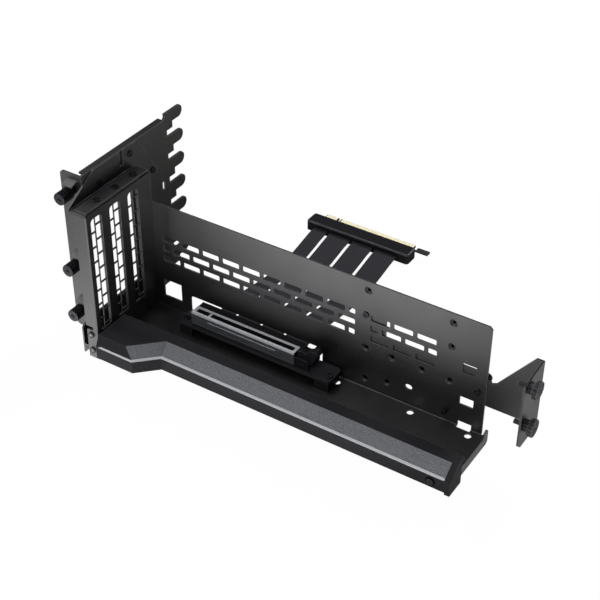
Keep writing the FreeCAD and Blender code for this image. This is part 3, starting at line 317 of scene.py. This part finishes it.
def addCircle(bm, middle, radius, sides, axis):
    # a ring of corners round the line X or Y
    x, y, z = middle
    ring = []
    for k in range(sides):
        turn = 2 * math.pi * k / sides
        out, up = radius * math.cos(turn), radius * math.sin(turn)
        place = (x, y + out, z + up) if axis == "X" else (x + out, y, z + up)
        ring.append(bm.verts.new([c * mm for c in place]))
    return ring


def joinRings(bm, one, two):
    for k in range(len(one)):
        j = (k + 1) % len(one)
        bm.faces.new((one[k], one[j], two[j], two[k]))


def addRod(bm, start, end, radius, sides, axis):
    one, two = [addCircle(bm, middle, radius, sides, axis) for middle in (start, end)]
    joinRings(bm, one, two)
    bm.faces.new(one[::-1])
    bm.faces.new(two)


# The flat cable: four bands with moulded ribs. They leave the relief level, pass the hole in the
# wall's foot, sink to the surface behind the bracket and rise into the plug
flatCable = {
    "thickness": 0.8,
    "widths": (13.1, 19.5, 18.6, 19.6),
    "startX": (74.7, 90.0, 111.7, 132.5),
    "endX": (60.1, 75.9, 98.2, 119.6),
    "route": ((-1.0, 14.3), (3.5, 14.3), (10.0, 14.2), (22.0, 13.4), (36.0, 10.6), (52.0, 6.0), (70.0, 0.6),
              (88.0, -4.2), (104.0, -6.8), (120.0, -7.3), (136.0, -6.2), (149.0, -4.2), (157.5, -3.6)),
    "ribPitch": 1.27,
    "ribHeight": 0.05,
    "fewestRibs": 6,
    "steps": 6,
}


def smoothLine(points):
    # the evaluated points of a NURBS spline through its control points
    curve = bpy.data.curves.new("cableLine", "CURVE")
    curve.dimensions = "3D"
    spline = curve.splines.new("NURBS")
    spline.points.add(len(points) - 1)
    for point, place in zip(spline.points, points):
        point.co = (*place, 1.0)
    spline.order_u = 3
    spline.use_endpoint_u = True
    spline.resolution_u = flatCable["steps"]
    holder = bpy.data.objects.new("cableLine", curve)
    mesh = bpy.data.meshes.new_from_object(holder)
    line = [v.co.copy() for v in mesh.vertices]
    bpy.data.objects.remove(holder)
    bpy.data.curves.remove(curve)
    bpy.data.meshes.remove(mesh)
    return line


def lineLength(line):
    return sum((b - a).length for a, b in zip(line, line[1:]))


def cableBand(number):
    s = flatCable
    width = s["widths"][number]
    startX, endX = s["startX"][number], s["endX"][number]
    startY, endY = s["route"][0][0], s["route"][-1][0]
    points = []
    for y, z in s["route"]:
        part = (y - startY) / (endY - startY)
        x = startX + (endX - startX) * part * part * (3 - 2 * part)     # eases in and out sideways
        points.append(Vector(((x + width / 2) * mm, y * mm, z * mm)))
    line = smoothLine(points)
    ribs = max(s["fewestRibs"], round(width / s["ribPitch"]))
    half = s["thickness"] / 2 * mm
    bm = bmesh.new()
    rings = []
    for i, place in enumerate(line):
        before = line[max(0, i - 1)]
        after = line[min(len(line) - 1, i + 1)]
        up = Vector((1, 0, 0)).cross((after - before).normalized()).normalized()
        ring = []
        for side in (1, -1):
            for k in range(2 * ribs + 1):
                x = side * (-width / 2 + width * k / (2 * ribs)) * mm
                sink = s["ribHeight"] * mm if k % 2 == 0 else 0.0
                ring.append(bm.verts.new(place + Vector((x, 0, 0)) + up * side * (half - sink)))
        rings.append(ring)
    for one, two in zip(rings, rings[1:]):
        joinRings(bm, one, two)
    bm.faces.new(rings[0][::-1])
    bm.faces.new(rings[-1])
    band = meshPiece("cableBand%d" % (number + 1), bm, materials["cable"])
    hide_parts("cable_band_%d" % (number + 1))
    return band, line, width


bands = [cableBand(number) for number in range(len(flatCable["widths"]))]
print("cable bands made, length in mm", round(lineLength(bands[0][1]) / mm, 1))

# Gold pads on both sides of the plug's edge, at their real spacing, with the key's gap between them
edgePads = {"firstX": 61.4, "length": 85.2, "startGap": 0.7, "endGap": 0.5, "keyAt": 11.65, "keyWidth": 1.9,
            "keyGap": 0.3, "tipY": 176.6, "reach": 5.0, "pitch": 1.0, "width": 0.88, "top": -0.7,
            "bottom": -2.3, "thickness": 0.1}


def makeEdgePads():
    s = edgePads
    keyStart = s["keyAt"] - s["keyGap"]
    keyEnd = s["keyAt"] + s["keyWidth"] + s["keyGap"]
    bm = bmesh.new()
    x = s["firstX"] + s["startGap"]
    while x + s["width"] < s["firstX"] + s["length"] - s["endGap"]:
        inKey = keyStart < x + s["width"] - s["firstX"] and x - s["firstX"] < keyEnd
        if not inKey:
            for z in (s["top"], s["bottom"] - s["thickness"]):
                addBox(bm, (x, s["tipY"] - s["reach"], z), (x + s["width"], s["tipY"], z + s["thickness"]))
        x += s["pitch"]
    pads = meshPiece("edgePads", bm, materials["gold"])
    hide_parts("plug_pads")
    return pads


allOnPlug = [nodes["plug_board"], nodes["plug_shell"], makeEdgePads()]
print("plug pads made")

# The bright line in the chamfer along the trim's front, from the left face round the mitred jog.
# low is the chamfer's lower edge from above, depths its depth on each of the three runs, and shares
# the line's lower and upper edge in parts of the chamfer's height
foilLine = {"low": ((20.9, -77.0), (52.3, -77.0), (67.5, -62.0), (298.0, -62.0)), "lowZ": 7.9, "highZ": 9.5,
            "depths": (0.386, 0.829, 0.964), "shares": (0.11, 1.2), "lift": 0.04, "leftTaper": 3.0,
            "pointOut": 0.8, "thickness": (0.0, 0.12, -0.06)}


def makeFoilLine():
    s = foilLine
    runs = []
    for start, end, depth in zip(s["low"], s["low"][1:], s["depths"]):
        along = (Vector(end) - Vector(start)).normalized()
        runs.append((Vector((along.y, -along.x)), depth))
    rows = []
    for share in s["shares"]:
        row = []
        for i, (x, y) in enumerate(s["low"]):
            near = [(normal, depth * share - s["lift"]) for normal, depth in runs[max(0, i - 1):i + 1]]
            if len(near) == 1:
                normal, inward = near[0]
                shift = normal * -inward
            else:
                # the point where both runs, moved inward, meet
                (n1, inward1), (n2, inward2) = near
                det = n1.x * n2.y - n1.y * n2.x
                shift = Vector((inward2 * n1.y - inward1 * n2.y, inward1 * n2.x - inward2 * n1.x)) / det
            row.append(Vector((x + shift.x, y + shift.y, s["lowZ"] + (s["highZ"] - s["lowZ"]) * share)))
        rows.append(row)
    low, high = rows
    high[0].x += s["leftTaper"]
    point = (low[-1] + high[-1]) / 2 + Vector((s["pointOut"], 0, 0))
    outline = low + [point] + high[::-1]
    bm = bmesh.new()
    front = [bm.verts.new(v * mm) for v in outline]
    back = [bm.verts.new((v + Vector(s["thickness"])) * mm) for v in outline]
    tip, last = len(low), len(outline) - 1
    for i in range(tip - 1):
        bm.faces.new((front[i], front[i + 1], front[last - 1 - i], front[last - i]))
        bm.faces.new((back[i + 1], back[i], back[last - i], back[last - 1 - i]))
    bm.faces.new((front[tip - 1], front[tip], front[tip + 1]))
    bm.faces.new((back[tip], back[tip - 1], back[tip + 1]))
    joinRings(bm, front, back)
    meshPiece("trimFoilLine", bm, materials["foil"])


makeFoilLine()
print("foil line made")

# The bead and dark slots pressed into the socket shield's front; the bead's bright foil is a painted
# highlight
shieldMarks = {"frontY": -18.9, "beadX": (78.0, 138.0), "beadZ": 17.5, "beadR": 0.22, "beadSides": 8,
               "slotsX": ((70.0, 92.0), (96.0, 118.0), (122.0, 144.0)), "slotZ": 14.4, "slotH": 0.5,
               "slotProud": 0.06, "slotSunk": 0.2}


def makeShieldMarks():
    s = shieldMarks
    bead = bmesh.new()
    start, end = [(x, s["frontY"], s["beadZ"]) for x in s["beadX"]]
    addRod(bead, start, end, s["beadR"], s["beadSides"], "X")
    meshPiece("shieldBead", bead, materials["foil"])
    slots = bmesh.new()
    for x0, x1 in s["slotsX"]:
        addBox(slots, (x0, s["frontY"] - s["slotProud"], s["slotZ"]),
               (x1, s["frontY"] + s["slotSunk"], s["slotZ"] + s["slotH"]))
    meshPiece("shieldSlots", slots, materials["nylon"])


# Painted shade in the gap round the screw at the trim's right end: a nearly black ring
sunkScrew = {"x": 288.5, "frontY": -62.0, "z": 3.1, "inner": 2.5, "outer": 3.7, "proud": 0.03, "sunk": 0.2,
             "sides": 32}


def makeSunkRing():
    s = sunkScrew
    bm = bmesh.new()
    loops = []
    for radius, y in ((s["outer"], s["sunk"]), (s["outer"], -s["proud"]),
                      (s["inner"], -s["proud"]), (s["inner"], s["sunk"])):
        loops.append(addCircle(bm, (s["x"], s["frontY"] + y, s["z"]), radius, s["sides"], "Y"))
    for one, two in zip(loops, loops[1:] + loops[:1]):
        joinRings(bm, one, two)
    meshPiece("sunkScrewShadeRing", bm, materials["shadowed"])


# The lug of the cable relief in the upper right corner of the wall's cable hole
reliefLug = {"x": (161.2, 166.1), "y": (-3.0, 0.9), "z": (14.2, 18.8), "cornerR": 3.0, "steps": 6}


def makeReliefLug():
    s = reliefLug
    (x0, x1), (z0, z1) = s["x"], s["z"]
    outline = [(x0, z0), (x1, z0)]
    for k in range(s["steps"] + 1):
        turn = math.pi / 2 * k / s["steps"]
        outline.append((x1 - s["cornerR"] * (1 - math.cos(turn)), z1 - s["cornerR"] * (1 - math.sin(turn))))
    outline.append((x0, z1))
    bm = bmesh.new()
    front, back = [[bm.verts.new((x * mm, y * mm, z * mm)) for x, z in outline] for y in s["y"]]
    bm.faces.new(front)
    bm.faces.new(back[::-1])
    joinRings(bm, front, back)
    meshPiece("reliefLug", bm, materials["nylon"])


# The bright pin in the middle of each foot screw
footPins = {"x": 11.8, "z": (-1.1, 13.0), "y": (-73.08, -72.6), "radius": 1.05, "sides": 16}


def makeFootPins():
    s = footPins
    bm = bmesh.new()
    for z in s["z"]:
        start, end = [(s["x"], y, z) for y in s["y"]]
        addRod(bm, start, end, s["radius"], s["sides"], "Y")
    meshPiece("footPins", bm, materials["foil"])


makeFootPins()
makeShieldMarks()
makeSunkRing()
makeReliefLug()
print("foot pins, shield marks, sunk ring and relief lug made")

# The studio: places on the floor in mm, tones from 0 to 1. The floor is white to the camera. To gloss
# rays it glows, a painted reflection, white only in front of the trim; its mirrored tone is darker under
# the object as painted shade, rises behind it towards the right, and falls off at the far right and left
stage = {
    "floorZ": -8.0, "floorGap": 0.2, "floorSizeMetres": 6.0, "floorColour": "#ffffff", "cameraShare": 0.98,
    "whiteToY": -75, "darkFromY": -45,
    "behindDarkX": 130, "behindLitX": 280, "darkLevel": 0.05, "litLevel": 0.32,
    "rightFullX": 225, "rightDimX": 290, "rightLevel": 0.2,
    "leftDimX": -120, "leftFullX": -20, "leftLevel": 0.38,
    "worldGrey": "#5c5d60", "worldDark": "#161617", "brightSide": (-0.5, -0.85, 0.17),
}


def floorMaterial():
    material, tree = newMaterial("paperFloor")
    path = addNode(tree, "ShaderNodeLightPath")
    seen = addNode(tree, "ShaderNodeMath", {"operation": "MAXIMUM"}, i0=path.outputs["Is Camera Ray"],
                   i1=path.outputs["Is Transmission Ray"])
    shown = addNode(tree, "ShaderNodeMath", {"operation": "MULTIPLY"}, i0=seen.outputs[0],
                    i1=stage["cameraShare"])
    share = addNode(tree, "ShaderNodeMath", {"operation": "MAXIMUM"}, i0=shown.outputs[0],
                    i1=path.outputs["Is Glossy Ray"])
    # the glow that gloss rays see, set by place: a painted reflection with painted shade
    position = addNode(tree, "ShaderNodeNewGeometry").outputs["Position"]
    place = addNode(tree, "ShaderNodeSeparateXYZ", i0=position)
    near = addNode(tree, "ShaderNodeMapRange", Value=place.outputs["Y"], From_Min=stage["whiteToY"] * mm,
                   From_Max=stage["darkFromY"] * mm, To_Min=1.0, To_Max=0.0)
    behind = addNode(tree, "ShaderNodeMapRange", Value=place.outputs["X"],
                     From_Min=stage["behindDarkX"] * mm, From_Max=stage["behindLitX"] * mm,
                     To_Min=stage["darkLevel"], To_Max=stage["litLevel"])
    right = addNode(tree, "ShaderNodeMapRange", Value=place.outputs["X"],
                    From_Min=stage["rightFullX"] * mm, From_Max=stage["rightDimX"] * mm,
                    To_Min=1.0, To_Max=stage["rightLevel"])
    left = addNode(tree, "ShaderNodeMapRange", Value=place.outputs["X"],
                   From_Min=stage["leftDimX"] * mm, From_Max=stage["leftFullX"] * mm,
                   To_Min=stage["leftLevel"], To_Max=1.0)
    shine = addNode(tree, "ShaderNodeMath", {"operation": "MULTIPLY"}, i0=near.outputs[0],
                    i1=right.outputs[0])
    tone = addNode(tree, "ShaderNodeMath", {"operation": "MAXIMUM"}, i0=shine.outputs[0],
                   i1=behind.outputs[0])
    mirrored = addNode(tree, "ShaderNodeMath", {"operation": "MULTIPLY"}, i0=tone.outputs[0],
                       i1=left.outputs[0])
    strength = addNode(tree, "ShaderNodeMath", {"operation": "MAXIMUM"}, i0=mirrored.outputs[0],
                       i1=seen.outputs[0])
    colour = linearColour(stage["floorColour"])
    matte = addNode(tree, "ShaderNodeBsdfDiffuse", Color=colour)
    glow = addNode(tree, "ShaderNodeEmission", Color=colour, Strength=strength.outputs[0])
    mixed = addNode(tree, "ShaderNodeMixShader", i0=share.outputs[0], i1=matte.outputs[0],
                    i2=glow.outputs[0])
    addNode(tree, "ShaderNodeOutputMaterial", i0=mixed.outputs[0])
    return material


def makeFloor():
    bm = bmesh.new()
    half = stage["floorSizeMetres"] / 2
    z = (stage["floorZ"] - stage["floorGap"]) * mm
    bm.faces.new([bm.verts.new((x * half, y * half, z)) for x, y in ((-1, -1), (1, -1), (1, 1), (-1, 1))])
    mesh = bpy.data.meshes.new("floor")
    bm.to_mesh(mesh)
    bm.free()
    mesh.materials.append(floorMaterial())
    floor = bpy.data.objects.new("floor", mesh)
    bpy.context.scene.collection.objects.link(floor)


def makeWorld():
    # white to the camera, and to the object a dim room with one brighter side
    world = bpy.data.worlds.new("studio")
    bpy.context.scene.world = world
    world.use_nodes = True
    tree = world.node_tree
    tree.nodes.clear()
    path = addNode(tree, "ShaderNodeLightPath")
    seen = addNode(tree, "ShaderNodeMath", {"operation": "MAXIMUM"}, i0=path.outputs["Is Camera Ray"],
                   i1=path.outputs["Is Transmission Ray"])
    place = addNode(tree, "ShaderNodeTexCoord").outputs["Generated"]
    side = addNode(tree, "ShaderNodeVectorMath", {"operation": "DOT_PRODUCT"}, i0=place,
                   i1=stage["brightSide"])
    turned = addNode(tree, "ShaderNodeMapRange", Value=side.outputs["Value"], From_Min=-1.0, From_Max=1.0)
    grey = addNode(tree, "ShaderNodeValToRGB",
                   {"stops": [(0.3, stage["worldDark"]), (0.75, stage["worldGrey"])]}, i0=turned.outputs[0])
    dim = addNode(tree, "ShaderNodeBackground", Color=grey.outputs["Color"], Strength=1.0)
    white = addNode(tree, "ShaderNodeBackground", Color=linearColour("#ffffff"), Strength=1.0)
    mixed = addNode(tree, "ShaderNodeMixShader", i0=seen.outputs[0], i1=dim.outputs[0], i2=white.outputs[0])
    addNode(tree, "ShaderNodeOutputWorld", i0=mixed.outputs[0])


# Places and sizes in metres, power in watts. Only the top lamp shows in gloss, so that the paint's
# blacks stay deep
lamps = {
    "keySoftbox": {"place": (0.3, -1.15, 1.0), "target": (0.13, 0.0, 0.03), "size": (0.9, 0.9),
                   "power": 8, "mirrored": False},
    "topSoftbox": {"place": (-0.5, -0.1, 1.15), "target": (0.13, 0.0, 0.03), "size": (1.1, 1.1),
                   "power": 3.3, "mirrored": True},
    "backSoftbox": {"place": (0.2, 0.8, 0.8), "target": (0.1, 0.15, 0.0), "size": (0.5, 0.4),
                    "power": 15, "mirrored": False},
}


def makeLamp(name, spec):
    lamp = bpy.data.lights.new(name, "AREA")
    lamp.shape = "RECTANGLE"
    lamp.size, lamp.size_y = spec["size"]
    lamp.energy = spec["power"]
    holder = bpy.data.objects.new(name, lamp)
    bpy.context.scene.collection.objects.link(holder)
    place = Vector(spec["place"])
    holder.location = place
    holder.rotation_euler = (Vector(spec["target"]) - place).to_track_quat("-Z", "Y").to_euler()
    holder.visible_glossy = spec["mirrored"]


# The photograph's view, solved from the object's right angles and known lengths: place, lens and
# sensor in mm, angles in degrees
camera = {"place": (568.345, -657.297, 639.098), "azimuth": 32.663, "elevation": 36.815, "roll": 0.203,
          "lens": 82.7, "sensor": 36.0, "clipStart": 10.0}


def makeCamera():
    data = bpy.data.cameras.new("photoCamera")
    data.sensor_width = camera["sensor"]
    data.lens = camera["lens"]
    data.clip_start = camera["clipStart"] * mm
    holder = bpy.data.objects.new("photoCamera", data)
    turn = (Matrix.Rotation(math.radians(camera["azimuth"]), 4, "Z")
            @ Matrix.Rotation(math.radians(90 - camera["elevation"]), 4, "X")
            @ Matrix.Rotation(math.radians(camera["roll"]), 4, "Z"))
    holder.matrix_world = Matrix.Translation(Vector(camera["place"]) * mm) @ turn
    bpy.context.scene.collection.objects.link(holder)
    bpy.context.scene.camera = holder


makeFloor()
makeWorld()
for name, spec in lamps.items():
    makeLamp(name, spec)
makeCamera()
bpy.context.scene.view_settings.view_transform = "Standard"
print("studio made")
